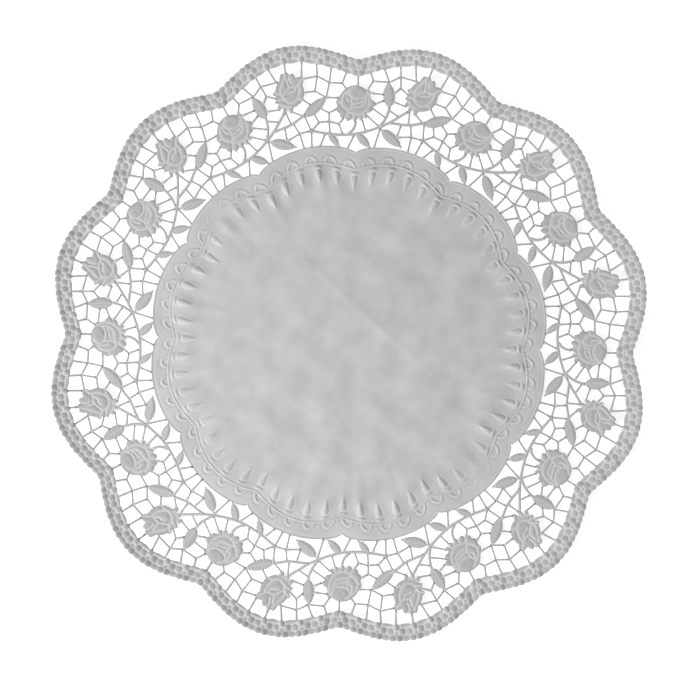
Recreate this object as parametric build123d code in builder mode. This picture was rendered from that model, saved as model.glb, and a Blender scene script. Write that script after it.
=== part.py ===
"""Round rose-lace cake doily: one flat sheet of die-cut paper, drawn as the named regions of its lace.

A plain centre panel is ringed by a scalloped hem, an open lace band with roses, rosebuds, leaves, vines
and net threads, and a beaded border of twelve lobes. Every region is the same sheet of paper, so each one
is cut out along its neighbours' outlines and meets them edge to edge. The sheet lies on Z = 0, its centre
is at the origin and a lobe points along +Y. The lace repeats once for each lobe.
"""

import os
from math import cos, radians, sin

from build123d import *

os.makedirs("parts", exist_ok=True)

# Driving dimensions, millimetres
paper_thickness = 0.1
lobe_count = 12

border_tip_radius = 180.0      # the border's outer edge at the middle of a lobe
border_notch_depth = 11.0      # how far the notch between two lobes cuts in
border_width = 10.2
units_per_lobe = 8             # bead groups along one lobe
bead_height = 0.6              # how far a bead bulges out of the border's edges
outer_lean = 0.4               # degrees by which the groups lean towards the notches at the outer edge
inner_lean = -0.5              # and at the inner edge, so that they stand square to the border's curve

hem_tip_radius = 119.4         # the hem's outer edge, where the lace band starts
hem_notch_depth = 6.0
hem_width = 9.5                # from the hem's outer edge in to the plain centre panel's
panel_notch_depth = 5.9

thread_width = 1.15
vine_width = 1.5
knob_radius = 1.25             # the round end that a vine starts from

rose_radius = 9.7
bud_half_width = 8.6
bud_half_height = 9.2

# How full a scalloped edge is: 1 is near a circular arc, less is flatter at the tip, more is pointed
border_outer_fullness = 1.2
border_inner_fullness = 1.25
hem_fullness = 0.5
panel_fullness = 1.0

border_notch_radius = border_tip_radius - border_notch_depth
hem_notch_radius = hem_tip_radius - hem_notch_depth
panel_tip_radius = hem_tip_radius - hem_width
panel_notch_radius = panel_tip_radius - panel_notch_depth

lobe_angle = 360 / lobe_count
half_lobe = lobe_angle / 2
edge_points = 11               # points that carry one scallop's curve
trim = 2.0                     # how far a thread is drawn into the border or the hem before it is cut


# Radii of the scalloped edges, and places in the lace band
def scallop(tip, notch, fullness, bearing):
    """Radius of a scalloped edge at a bearing, in degrees clockwise from a lobe's middle."""
    from_lobe = (bearing + half_lobe) % lobe_angle - half_lobe
    height = max(cos(radians(from_lobe * 90 / half_lobe)), 0.0)
    return notch + (tip - notch) * height**fullness


def border_outer(bearing):
    return scallop(border_tip_radius, border_notch_radius, border_outer_fullness, bearing)


def border_inner(bearing):
    tip = border_tip_radius - border_width
    return scallop(tip, border_notch_radius - border_width, border_inner_fullness, bearing)


def hem_outer(bearing):
    return scallop(hem_tip_radius, hem_notch_radius, hem_fullness, bearing)


def panel_edge(bearing):
    return scallop(panel_tip_radius, panel_notch_radius, panel_fullness, bearing)


def at(bearing, radius):
    return Vector(radius * sin(radians(bearing)), radius * cos(radians(bearing)))


def place(bearing, share, beyond=0.0):
    """A point of the lace band: share 0 is the hem's edge, 1 the border's, and beyond is added in mm."""
    low, high = hem_outer(bearing), border_inner(bearing)
    return at(bearing, low + share * (high - low) + beyond)


def lean(bearing, most):
    """A bearing that is moved away from the lobe's middle, the most halfway to the notch."""
    return bearing + most * sin(radians(bearing * 180 / half_lobe))


# Curves and outlines that are drawn into the sketch that is open
def scallop_curve(edge, turn=0.0):
    """One scallop from notch to notch, its points closer together towards the notches."""
    steps = [-90 + 180 * step / (edge_points - 1) for step in range(edge_points)]
    bearings = [half_lobe * sin(radians(step)) for step in steps]
    return Spline(*[at(bearing + turn, edge(bearing)) for bearing in bearings])


def leaf(base, tip, half_width):
    """A leaf or petal point: two mirrored curves that swell quickly from the base and run to a tip."""
    along = tip - base
    across = Vector(along.Y, -along.X).normalized() * half_width * 4 / 3
    with BuildLine() as outline:
        for side in (across, -across):
            Bezier(base, base + along * 0.1 + side, base + along * 0.75 + side, tip)
    make_face(outline.edges())


def flower(centre, half_width, half_height, points):
    """A flower's head with its petal points and sepals, each one (right, up, half width) from the centre."""
    with Locations(centre):
        Ellipse(half_width, half_height)
    for right, up, point_half_width in points:
        reach = Vector(right, up)
        leaf(centre + reach * 0.35, centre + reach, point_half_width)


def stems(routes, width):
    """Smooth stems of one width with round ends, each along a curve through the points of its route."""
    for route in routes:
        with BuildLine() as path:
            Spline(*[place(*point) for point in route])
        trace(path.line, line_width=width)
        for end in (route[0], route[-1]):
            with Locations(place(*end)):
                Circle(width / 2)


def around(sketch, mode=Mode.ADD):
    """Copies of one lobe's sketch, one for each lobe."""
    with PolarLocations(0, lobe_count):
        add(sketch, mode=mode)


# Border: twelve lobes, beaded on both edges and cut apart along the notches. A bead ends where the next one
# starts, counted in bead groups from one notch to the other; the outer one at a notch belongs to both lobes.
unit_angle = lobe_angle / units_per_lobe
middle_units = range(1, units_per_lobe - 1)
last_unit = units_per_lobe - 1
outer_ends = [-0.2, 0.2, 0.6, 1.0]
outer_ends += [unit + share for unit in middle_units for share in (0.32, 0.68, 1.0)]
outer_ends += [last_unit + 0.4, last_unit + 0.8, last_unit + 1.2]
inner_ends = [0.0, 0.33, 0.87]
inner_ends += [unit + share for unit in middle_units for share in (0.13, 0.87)]
inner_ends += [last_unit + 0.13, last_unit + 0.67, last_unit + 1.0]


def beaded_edge(edge, ends, valley, most_lean):
    """One arc for each bead: its middle is on the edge, and its ends are the valley's depth away."""
    for start, end in zip(ends, ends[1:]):
        first, last = max(start, 0), min(end, units_per_lobe)
        points = []
        for unit in (first, (first + last) / 2, last):
            share = (2 * unit - start - end) / (end - start)
            bearing = lean(unit * unit_angle - half_lobe, most_lean)
            points.append(at(bearing, edge(bearing) + valley * share**2))
        ThreePointArc(*points)


with BuildSketch() as lobe:
    with BuildLine():
        beaded_edge(border_outer, outer_ends, -bead_height, outer_lean)
        beaded_edge(border_inner, inner_ends, bead_height, inner_lean)
        for side in (-half_lobe, half_lobe):
            Line(at(side, border_outer(side)), at(side, border_inner(side) + bead_height))
    make_face()

with BuildPart() as border_lobes:
    with BuildSketch():
        around(lobe.sketch)
    extrude(amount=paper_thickness)


# Hem: twelve scallops between the centre panel and the lace, cut apart below the notches
with BuildSketch() as scallop_face:
    with BuildLine():
        scallop_curve(hem_outer)
        scallop_curve(panel_edge)
        for side in (-half_lobe, half_lobe):
            Line(at(side, panel_edge(side)), at(side, hem_outer(side)))
    make_face()

with BuildPart() as hem_scallops:
    with BuildSketch():
        around(scallop_face.sketch)
    extrude(amount=paper_thickness)


# Centre panel: the plain paper that a cake stands on
with BuildPart() as centre_panel:
    with BuildSketch():
        with BuildLine():
            for lobe_number in range(lobe_count):
                scallop_curve(panel_edge, lobe_number * lobe_angle)
        make_face()
    extrude(amount=paper_thickness)


# Roses stand below the notches, rosebuds at the middle of the lobes. A point is (right, up, half width)
# in millimetres from the flower's centre, with the lobe upwards.
rose_place = (14.5, 0.66)
rose_points = [
    (-11.2, 2.4, 4.4), (-11.9, -3.0, 4.0), (-10.6, -7.0, 3.0), (-7.2, -10.2, 2.4), (-2.9, -11.6, 1.9),
    (1.5, -12.0, 1.8), (4.6, -11.2, 1.9), (8.8, -7.6, 2.6), (12.0, -4.2, 2.6), (10.4, 4.4, 3.0),
]
bud_place = (-0.2, 0.68)
bud_points = [
    (-2.6, 11.6, 2.6), (0.2, 12.2, 2.4), (4.0, 10.4, 2.6), (9.6, 7.0, 2.8),
    (-10.3, 0.9, 2.0), (-10.0, -4.6, 2.0), (-9.2, -8.8, 1.8), (-6.2, -11.6, 1.7), (-2.0, -12.6, 1.7),
]

with BuildSketch() as rose:
    flower(place(*rose_place), rose_radius, rose_radius, rose_points)

with BuildSketch() as bud:
    flower(place(*bud_place), bud_half_width, bud_half_height, bud_points)

with BuildPart() as rose_blooms:
    with BuildSketch() as rose_ring:
        around(rose.sketch)
    extrude(amount=paper_thickness)

with BuildPart() as rose_buds:
    with BuildSketch() as bud_ring:
        around(bud.sketch)
    extrude(amount=paper_thickness)


# A vine or thread that ends at a flower or leaf runs on to its heart, under the outline that cuts it off
rose_heart = rose_place
left_rose_heart = (rose_place[0] - lobe_angle, rose_place[1])
bud_heart = bud_place
next_bud_heart = (bud_place[0] + lobe_angle, bud_place[1])
upright_heart = (-7.7, 0.66)
slanting_heart = (4.8, 0.5)
hem_leaf_heart = (-5.2, 0.13)

# Vines: places in the lace band are (bearing, share)
vine_routes = [
    # the main vine, from its knob under one lobe to the next lobe's rosebud
    [
        (3.1, 0.19), (7.6, 0.15), (11.8, 0.17), (16.2, 0.23),
        (20.2, 0.25), (22.5, 0.29), (25.6, 0.39), (27.9, 0.49),
    ],
    # a branch from the rosebud's stem to the slanting leaf
    [(-6.6, 0.31), (-3.6, 0.3), (-1.4, 0.31), (0.6, 0.35), (2.5, 0.4)],
    # the upright leaf's stem
    [(-8.9, 0.27), (-7.5, 0.4), (-7.2, 0.52)],
    # the rose's stem
    [(14.5, 0.5), (14.7, 0.37), (14.1, 0.28), (12.6, 0.19)],
    # both stems' ends inside their flowers
    [(14.5, 0.5), rose_heart],
    [(27.9, 0.49), next_bud_heart],
]

with BuildSketch() as vine:
    stems(vine_routes, vine_width)
    with Locations(place(*vine_routes[0][0])):
        Circle(knob_radius)

with BuildSketch() as vine_ring:
    around(vine.sketch)
    add(rose_ring.sketch, mode=Mode.SUBTRACT)
    add(bud_ring.sketch, mode=Mode.SUBTRACT)

with BuildPart() as vine_stems:
    extrude(vine_ring.sketch, amount=paper_thickness)


# Leaves: base, tip and half width
leaf_places = [
    ((-7.2, 0.51), (-8.3, 0.83), 3.45),      # upright, left of the rosebud
    ((2.1, 0.37), (7.7, 0.61), 3.2),         # slanting, right of the rosebud
    ((-8.1, 0.22), (-2.2, 0.04), 3.1),       # along the hem
    ((7.6, 0.15), (10.2, 0.01), 2.0),        # small, between the vine and the hem
    ((15.3, 0.24), (19.1, 0.01), 2.4),       # below the rose
]

with BuildSketch() as lobe_leaves:
    for base, tip, half_width in leaf_places:
        leaf(place(*base), place(*tip), half_width)
    for neighbour in (vine_ring, rose_ring, bud_ring):
        add(neighbour.sketch, mode=Mode.SUBTRACT)
    around(scallop_face.sketch, mode=Mode.SUBTRACT)

with BuildPart() as leaves:
    with BuildSketch() as leaf_ring:
        around(lobe_leaves.sketch)
    extrude(amount=paper_thickness)


# Net: straight threads between the knots where they meet. A thread that ends at a leaf, a flower, a vine,
# the hem or the border is drawn a little way into it and cut along its outline.
upper_left = (-11.6, 0.89)
leaf_top = (-8.1, 0.83)
left_high = (-5.9, 0.88)
left_mid = (-5.4, 0.74)
right_high = (6.3, 0.86)
right_far = (8.8, 0.81)
right_low = (5.4, 0.67)
rose_side = (11.6, 0.85)
crossing = (-0.1, 0.18)
knob = vine_routes[0][0]
mid_right = (5.4, 0.29)
low_right = (8.0, 0.31)
high_right = (8.2, 0.42)
near_rose = (10.5, 0.3)
slanting_tip = (7.8, 0.61)

thread_routes = [
    # upper net, from left to right under the border
    [(-12.4, 1.0), upper_left, leaf_top, left_high, (-2.1, 0.83), bud_heart],
    [upper_left, (-13.6, 0.72), left_rose_heart],
    [(-9.7, 1.0), leaf_top],
    [(-6.4, 1.0), left_high, left_mid, (-3.2, 0.65), bud_heart],
    [left_mid, (-6.8, 0.67), upright_heart],
    [(-3.5, 1.0), (-2.4, 0.82), bud_heart],
    [(0.1, 1.0), (-0.2, 0.88), bud_heart],
    [bud_heart, (2.9, 0.81)],
    [(3.6, 1.0), (2.9, 0.81), right_high, right_far, rose_side, (12.7, 1.0)],
    [(6.5, 1.0), right_high, right_low, (2.5, 0.65), bud_heart],
    [(9.5, 1.0), right_far, slanting_tip, (11.0, 0.65), rose_heart],
    [right_low, slanting_tip],
    [rose_side, (13.3, 0.75), rose_heart],
    [(15.1, 1.0), (15.1, 0.8), rose_heart],
    # beside the rose, the upright leaf and the rosebud
    [left_rose_heart, (-13.7, 0.78), (-8.2, 0.67), upright_heart],
    [left_rose_heart, (-11.9, 0.56), (-8.1, 0.61), upright_heart],
    [(-11.9, 0.56), (-7.7, 0.38)],
    [left_rose_heart, (-13.0, 0.48), (-8.7, 0.26)],
    [left_rose_heart, (-13.6, 0.42), (-12.4, 0.23)],
    [(-7.1, 0.47), (-4.5, 0.39)],
    [upright_heart, (-7.1, 0.59), (-3.2, 0.52), bud_heart],
    [bud_heart, (-2.3, 0.49), (-1.7, 0.31)],
    [bud_heart, (-1.0, 0.46), (2.0, 0.37)],
    [bud_heart, (1.7, 0.6), (4.0, 0.5), slanting_heart],
    # lower net
    [(-3.5, 0.29), (-3.9, 0.13), hem_leaf_heart],
    [hem_leaf_heart, (-4.1, 0.14), crossing, knob],
    [(-1.1, 0.31), crossing, (0.2, 0.0)],
    [(2.0, 0.38), knob, (2.3, 0.0)],
    [knob, mid_right, (4.2, 0.42), slanting_heart],
    [mid_right, low_right, near_rose, (12.3, 0.45), rose_heart],
    [(7.9, 0.15), low_right, high_right, (6.0, 0.47), slanting_heart],
    [high_right, (11.4, 0.55), rose_heart],
    [near_rose, (11.4, 0.17)],
    # down to the hem
    [(6.6, 0.15), (4.5, 0.0)],
    [(14.6, 0.23), (12.4, 0.0)],
    [(-8.6, 0.27), (-9.7, 0.0)],
]


def thread_point(bearing, share):
    """A thread's point, carried on by the trim where it ends at the border or the hem."""
    return place(bearing, share, {0.0: -trim, 1.0: trim}.get(share, 0.0))


with BuildSketch() as lobe_net:
    for route in thread_routes:
        points = [thread_point(*point) for point in route]
        for start, end in zip(points, points[1:]):
            with BuildLine() as path:
                Line(start, end)
            trace(path.line, line_width=thread_width)
        for point in points:
            with Locations(point):
                Circle(thread_width / 2)
    for neighbour in (vine_ring, rose_ring, bud_ring, leaf_ring):
        add(neighbour.sketch, mode=Mode.SUBTRACT)
    around(scallop_face.sketch, mode=Mode.SUBTRACT)
    around(lobe.sketch, mode=Mode.SUBTRACT)

with BuildPart() as net_threads:
    with BuildSketch():
        around(lobe_net.sketch)
    extrude(amount=paper_thickness)


# Each region of the sheet is one node
regions = {
    "centre_panel": centre_panel,
    "hem_scallops": hem_scallops,
    "border_lobes": border_lobes,
    "rose_blooms": rose_blooms,
    "rose_buds": rose_buds,
    "leaves": leaves,
    "vine_stems": vine_stems,
    "net_threads": net_threads,
}
for name, region in regions.items():
    region.part.label = name
    export_step(region.part, f"parts/{name}.step")
    print(name, len(region.part.solids()), "solids,", round(region.part.volume, 1), "mm3")
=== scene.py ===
# %% [markdown]
# # A round cake doily of embossed lace paper
#
# The doily is one sheet of thin white paper, 360 mm across its twelve lobes. One stroke of a steel die cuts
# the holes and presses the pattern: beads, petals and threads are pushed up, and the lines between them are
# pressed down. The solids give the flat cut shape. Here each region gets its relief and its paper.
#
# Every surface is a function of two parameters on a grid, worked out as whole arrays. That suits an embossed
# sheet: the relief is a height over a flat place, and one formula gives the shape and the painted shading.

from math import cos, pi, radians, sin

import bpy
import numpy as np
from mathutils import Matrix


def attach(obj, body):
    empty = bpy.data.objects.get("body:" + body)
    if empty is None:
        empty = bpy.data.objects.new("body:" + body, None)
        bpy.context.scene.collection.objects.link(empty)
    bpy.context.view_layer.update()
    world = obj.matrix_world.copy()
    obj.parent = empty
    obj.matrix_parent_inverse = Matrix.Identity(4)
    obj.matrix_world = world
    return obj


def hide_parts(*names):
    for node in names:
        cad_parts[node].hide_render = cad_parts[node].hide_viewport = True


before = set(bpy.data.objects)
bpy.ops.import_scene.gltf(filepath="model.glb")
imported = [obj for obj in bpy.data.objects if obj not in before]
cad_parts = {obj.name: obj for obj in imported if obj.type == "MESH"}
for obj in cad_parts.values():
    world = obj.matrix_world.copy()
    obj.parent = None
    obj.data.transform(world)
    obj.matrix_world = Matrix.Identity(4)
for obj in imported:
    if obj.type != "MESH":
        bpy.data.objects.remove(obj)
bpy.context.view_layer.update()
print("nodes:", ", ".join(sorted(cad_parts)))

# %% [markdown]
# ## Sizes
#
# The lace repeats once for each lobe, so a place is easiest to say in polar terms: a bearing in degrees,
# clockwise from the middle of a lobe, and a radius, or a share of the way across the open lace band. The
# sizes are in millimetres and are those of the solids; MM turns them into Blender's metres at the end.

# %% Sizes in millimetres
MM = 0.001
paper_thickness = 0.1
lobe_count = 12
lobe_angle = 360 / lobe_count
half_lobe = lobe_angle / 2

border_tip_radius, border_notch_radius, border_width = 180.0, 169.0, 10.2
hem_tip_radius, hem_notch_radius = 119.4, 113.4
panel_tip_radius, panel_notch_radius = 109.9, 104.0
units_per_lobe, bead_height = 8, 0.6
thread_width, vine_width, knob_radius = 1.15, 1.5, 1.25

flat_level = 0.3                        # how high plain paper stands between pressed and raised parts
flat_radius, dome_height = 105.0, 0.9   # the middle is a little domed as far as this radius
edge_lift, clearance = 7.3, 0.4         # from there the sheet curls up, this far at its edge

# %% Scalloped edges and places
def scallop(tip, notch, fullness, bearing):
    """Radius of a scalloped edge: the notch radius plus the lobe's depth times a cosine across the lobe,
    raised to a power that makes the scallop flatter or more pointed."""
    from_middle = (bearing + half_lobe) % lobe_angle - half_lobe
    height = np.clip(np.cos(np.radians(from_middle * 90 / half_lobe)), 0, None)
    return notch + (tip - notch) * height**fullness


def border_outer(bearing):
    return scallop(border_tip_radius, border_notch_radius, 1.2, bearing)


def border_inner(bearing):
    return scallop(border_tip_radius - border_width, border_notch_radius - border_width, 1.25, bearing)


def hem_outer(bearing):
    return scallop(hem_tip_radius, hem_notch_radius, 0.5, bearing)


def panel_edge(bearing):
    return scallop(panel_tip_radius, panel_notch_radius, 1.0, bearing)


def at(bearing, radius):
    """Right and up of a point: the radius times the sine and the cosine of its bearing."""
    turn = np.radians(bearing)
    return radius * np.sin(turn), radius * np.cos(turn)


def turned(right, up, turn):
    """Right and up of a point that is moved clockwise round the middle by an angle in radians."""
    return right * np.cos(turn) + up * np.sin(turn), up * np.cos(turn) - right * np.sin(turn)


def place(bearing, share):
    """A point of the lace band, where share 0 is the hem's edge and 1 is the border's."""
    low, high = hem_outer(bearing), border_inner(bearing)
    return np.array(at(bearing, low + share * (high - low)))


def from_nearest(bearing, first, step):
    """Degrees from the nearest of the bearings first, first + step, first + 2 steps and so on."""
    return (bearing - first + step / 2) % step - step / 2


print("hem edge", hem_outer(0.0), "mm, lace band", round(border_inner(0.0) - hem_outer(0.0), 1), "mm wide")

# %% [markdown]
# ## What the press does to paper
#
# A pressed ridge has a crest and a small valley on each side, where the die pinches the sheet. A bead is a
# small dome. Both are functions of a distance, so they can be laid anywhere.

# %% Ridge and bead profiles
def limited(share):
    """A share kept between 0 and 1."""
    return np.clip(share, 0, 1)


def bell(distance, half_width):
    return np.exp(-((distance / half_width) ** 2))


def ridge(distance, half_width):
    """A crest of one half width with a shallower valley on both sides: one bell curve less two others."""
    beside = np.abs(distance) - 2.2 * half_width
    return bell(distance, half_width) - 0.6 * bell(beside, 0.9 * half_width)


def bead(right, up, half_length, half_height, power=2.4):
    """A dome over a rounded oval: 1 in the middle, and 0 from the rim of the oval outwards. The distance
    from the middle is a sum of powers, which makes the oval a little square."""
    out = np.abs(right / half_length) ** power + np.abs(up / half_height) ** power
    return limited(1 - out) ** 0.6


print("a ridge 1 mm wide:", np.round(ridge(np.linspace(0, 2, 5), 0.5), 2))

# %% [markdown]
# ## From arrays to pieces
#
# A patch is the right, up, height and painted shading of each point, and the quads between them. The painted
# shading is light and shade put into the colour: 1 on a raised thread, painted darker, 0 on plain paper and
# -1 on a pressed line, painted lighter. It goes into the mesh as an attribute, which the finish reads.
# Solidify then gives the sheet its thickness downwards.

# %% Patches
def lattice(rows, columns, closed=False):
    """Quads of a grid of points, row by row; a closed one joins its last column to its first."""
    number = np.arange(rows * columns).reshape(rows, columns)
    right = np.roll(number, -1, axis=1)
    last = columns if closed else columns - 1
    corners = (number[:-1, :last], right[:-1, :last], right[1:, :last], number[1:, :last])
    return np.stack([corner.ravel() for corner in corners], axis=1)


def patch(right, up, height, painted_shading, closed=False):
    """A patch of a grid's arrays, its quads turned so that they face upwards."""
    quads = lattice(*right.shape, closed)
    x, y = right.ravel()[quads], up.ravel()[quads]
    twice_area = (x * np.roll(y, -1, axis=1) - y * np.roll(x, -1, axis=1)).sum()
    points = np.stack([np.broadcast_to(part, right.shape).ravel() for part in (right, up, height, painted_shading)])
    return points, quads if twice_area > 0 else quads[:, ::-1]


def gather(patches):
    """Several patches as one: their points side by side, and the quads' numbers moved on."""
    starts = np.cumsum([0] + [points.shape[1] for points, quads in patches])
    quads = np.concatenate([quads + start for (points, quads), start in zip(patches, starts)])
    return np.concatenate([points for points, quads in patches], axis=1), quads


def around(one_lobe):
    """Twelve copies of one lobe's patch, each turned clockwise by one lobe more."""
    points, quads = one_lobe
    copies = []
    for lobe in range(lobe_count):
        right, up, height, painted_shading = points
        right, up = turned(right, up, radians(lobe * lobe_angle))
        copies.append((np.stack([right, up, height, painted_shading]), quads))
    return gather(copies)


def rise(right, up):
    """How far the sheet stands off the table. The middle is a shallow dome. Outside it the sheet lifts with
    the cube of the distance, as embossed paper curls, and slow waves round the middle grow outwards too.
    A small clearance keeps the deepest wrinkles off the table."""
    radius, turn = np.hypot(right, up), np.arctan2(up, right)
    waves = 0.6 + 0.3 * np.sin(3 * turn + 0.6) + 0.2 * np.sin(5 * turn + 2.0)
    dome = dome_height * limited(1 - (radius / flat_radius) ** 2) ** 1.5
    curl = edge_lift * np.clip((radius - flat_radius) / (border_tip_radius - flat_radius), 0, None) ** 3
    return clearance + dome + curl + waves * (radius / border_tip_radius) ** 2


def add_object(name, data):
    """A new object, in the scene's own collection."""
    made = bpy.data.objects.new(name, data)
    bpy.context.scene.collection.objects.link(made)
    return made


def sheet_piece(name, node, finish, surface, more_faces=()):
    """Makes a piece of a patch: the points go up by the sheet's rise and the paper's thickness, and
    Solidify adds the thickness below them. More faces, as lists of points, may join or close its grids."""
    (right, up, height, painted_shading), quads = surface
    high = height + rise(right, up) + paper_thickness
    points = np.stack([right, up, high], axis=1) * MM
    mesh = bpy.data.meshes.new(name)
    mesh.from_pydata(points.tolist(), [], quads.tolist() + list(more_faces))
    mesh.attributes.new("painted_shading", "FLOAT", "POINT").data.foreach_set("value", painted_shading.astype(np.float32))
    mesh.shade_smooth()
    mesh.materials.append(finish)
    piece = add_object(name, mesh)
    paper = piece.modifiers.new("paper", "SOLIDIFY")
    paper.thickness, paper.offset = paper_thickness * MM, -1.0
    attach(piece, "root")
    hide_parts(node)
    return piece


# %% [markdown]
# ## The paper's finish
#
# Doily paper is white, matt and slightly see-through. A raised thread or bead stands away from the white
# table, and that shade is painted into its colour as a greyer tint. A pressed line lies on the table, and
# that light is painted in as a lighter tint. Cloudy patches show where the pulp is thicker. All regions
# share this look, so it is one node group, and each material gives it its own three greys, plain, painted
# shade and painted light, and its own strength of clouds and grain.

# %% Greys
def grey(level):
    """A screen grey from 11 to 255 as a linear colour, by the power curve of sRGB."""
    linear = ((level / 255 + 0.055) / 1.055) ** 2.4
    return linear, linear, linear, 1.0


# %% The pressed paper group
def set_inputs(node, values):
    """Gives a node's inputs their values, by name."""
    for name, value in values.items():
        node.inputs[name].default_value = value


def pressed_paper_group():
    """Colour: flat paper mixed towards a darker grey of painted shade on raised parts or a lighter grey of
    painted light on pressed lines, times clouds and grain. Roughness falls a little on pressed lines. Height
    is fine grain for a bump."""
    group = bpy.data.node_groups.new("pressed_paper", "ShaderNodeTree")
    sockets = {"INPUT": {"Position": "Vector", "Painted Shading": "Float", "Flat": "Color", "Raised Shade": "Color",
                         "Pressed Light": "Color", "Clouds": "Float", "Grain": "Float"},
               "OUTPUT": {"Colour": "Color", "Roughness": "Float", "Height": "Float"}}
    for side, kinds in sockets.items():
        for name, kind in kinds.items():
            group.interface.new_socket(name=name, in_out=side, socket_type="NodeSocket" + kind)
    nodes, links = group.nodes, group.links
    given, made = nodes.new("NodeGroupInput"), nodes.new("NodeGroupOutput")

    def towards(colour_from, colour_to, start, end):
        """Mixes two colours as the tone goes from start to end."""
        share = nodes.new("ShaderNodeMapRange")
        set_inputs(share, {"From Min": start, "From Max": end})
        mix = nodes.new("ShaderNodeMix")
        mix.data_type = "RGBA"
        links.new(given.outputs["Painted Shading"], share.inputs["Value"])
        links.new(share.outputs["Result"], mix.inputs["Factor"])
        links.new(colour_from, mix.inputs["A"])
        links.new(colour_to, mix.inputs["B"])
        return mix.outputs["Result"]

    def speckle(scale, detail):
        """Noise of one size, from the piece's own coordinates."""
        noise = nodes.new("ShaderNodeTexNoise")
        set_inputs(noise, {"Scale": scale, "Detail": detail})
        links.new(given.outputs["Position"], noise.inputs["Vector"])
        return noise.outputs["Fac"]

    def math(operation, first, second):
        node = nodes.new("ShaderNodeMath")
        node.operation = operation
        for socket, value in zip(node.inputs, (first, second)):
            if isinstance(value, float):
                socket.default_value = value
            else:
                links.new(value, socket)
        return node.outputs["Value"]

    # Painted shading: the colour goes towards the painted shade grey where the paper is raised, and towards
    # the painted light grey on pressed lines.
    raised = towards(given.outputs["Flat"], given.outputs["Raised Shade"], 0.0, 1.0)
    shaded_colour = towards(raised, given.outputs["Pressed Light"], 0.0, -1.0)
    clouds = math("MULTIPLY", math("SUBTRACT", speckle(85.0, 6.0), 0.5), given.outputs["Clouds"])
    grain_noise = speckle(1300.0, 2.0)
    grain = math("MULTIPLY", math("SUBTRACT", grain_noise, 0.5), given.outputs["Grain"])
    strength = math("ADD", math("ADD", clouds, grain), 1.0)
    shade = nodes.new("ShaderNodeVectorMath")
    shade.operation = "SCALE"
    links.new(shaded_colour, shade.inputs[0])
    links.new(strength, shade.inputs["Scale"])
    links.new(shade.outputs["Vector"], made.inputs["Colour"])
    smoother = math("MULTIPLY", given.outputs["Painted Shading"], 0.08)
    links.new(math("ADD", math("MULTIPLY", grain_noise, 0.15), math("ADD", smoother, 0.75)),
              made.inputs["Roughness"])
    links.new(math("ADD", math("MULTIPLY", speckle(420.0, 3.0), 0.6), grain_noise), made.inputs["Height"])
    print("pressed_paper:", len(nodes), "nodes")
    return group


pressed_paper = pressed_paper_group()

# %% One finish for each kind of paper surface
def paper_finish(name, flat, raised, pressed, clouds, grain):
    """A matt paper of three greys, plain, painted shade and painted light: the group's colour and roughness,
    and its height through a bump.
    """
    finish = bpy.data.materials.new(name)
    finish.use_nodes = True
    nodes, links = finish.node_tree.nodes, finish.node_tree.links
    shader = nodes["Principled BSDF"]
    set_inputs(shader, {"Specular IOR Level": 0.25})
    look = nodes.new("ShaderNodeGroup")
    look.node_tree = pressed_paper
    set_inputs(look, {"Flat": grey(flat), "Raised Shade": grey(raised), "Pressed Light": grey(pressed),
                      "Clouds": clouds, "Grain": grain})
    places = nodes.new("ShaderNodeTexCoord")
    painted_shading = nodes.new("ShaderNodeAttribute")
    painted_shading.attribute_name = "painted_shading"
    bump_node = nodes.new("ShaderNodeBump")
    set_inputs(bump_node, {"Strength": 0.25, "Distance": 0.05 * MM})
    links.new(places.outputs["Object"], look.inputs["Position"])
    links.new(painted_shading.outputs["Fac"], look.inputs["Painted Shading"])
    links.new(look.outputs["Colour"], shader.inputs["Base Color"])
    links.new(look.outputs["Roughness"], shader.inputs["Roughness"])
    links.new(look.outputs["Height"], bump_node.inputs["Height"])
    links.new(bump_node.outputs["Normal"], shader.inputs["Normal"])
    return finish


# The greys: plain paper, the painted shade of raised parts and the painted light of pressed lines.
panel_finish = paper_finish("pressed_panel", 194, 166, 212, clouds=0.42, grain=0.14)
hem_finish = paper_finish("pressed_hem", 195, 160, 214, clouds=0.2, grain=0.10)
border_finish = paper_finish("pressed_border", 195, 160, 222, clouds=0.14, grain=0.24)
motif_finish = paper_finish("pressed_motif", 195, 164, 212, clouds=0.14, grain=0.26)
net_finish = paper_finish("pressed_net", 196, 174, 212, clouds=0.10, grain=0.10)
print(len(bpy.data.materials), "finishes")

# %% [markdown]
# ## The plain centre panel
#
# The cake stands here, so the middle is plain. Round its edge runs a fine pressed ridge, and inside that a
# ring of raised teardrops that point to the middle, each with a small bead at its head. At two places the
# die pressed lightly. A grid of bearings and insets from the edge carries all of it, with rows close
# together where the pattern is, and far apart in the plain middle.

# %% Centre panel
teardrop_first, teardrop_step = 3.0, 6.0         # the first teardrop's bearing, and degrees between two
teardrop_half_width, teardrop_middle = 2.05, 6.2  # the widest place is that far in from the edge
head_length, tail_length = 1.9, 6.4
cap_inset, arc_inset = 2.55, 3.8                 # the small bead above each teardrop, and the line between
line_inset, line_half_width, line_height = 0.25, 0.42, 0.28
faint_places = [(-33, 6.0), (147.5, 6.5)]        # bearings and half widths of the lightly pressed places


def depth_share(bearing):
    """How deep the die pressed: 1, less a bell curve round each faint place."""
    return 1 - 0.9 * sum(bell(from_nearest(bearing, middle, 360), half) for middle, half in faint_places)


def edge_line(inset):
    """The fine ridge just inside the panel's edge."""
    return ridge(inset - line_inset, line_half_width)


def from_teardrop(bearing):
    """Degrees from the nearest teardrop."""
    return from_nearest(bearing, teardrop_first, teardrop_step)


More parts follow.
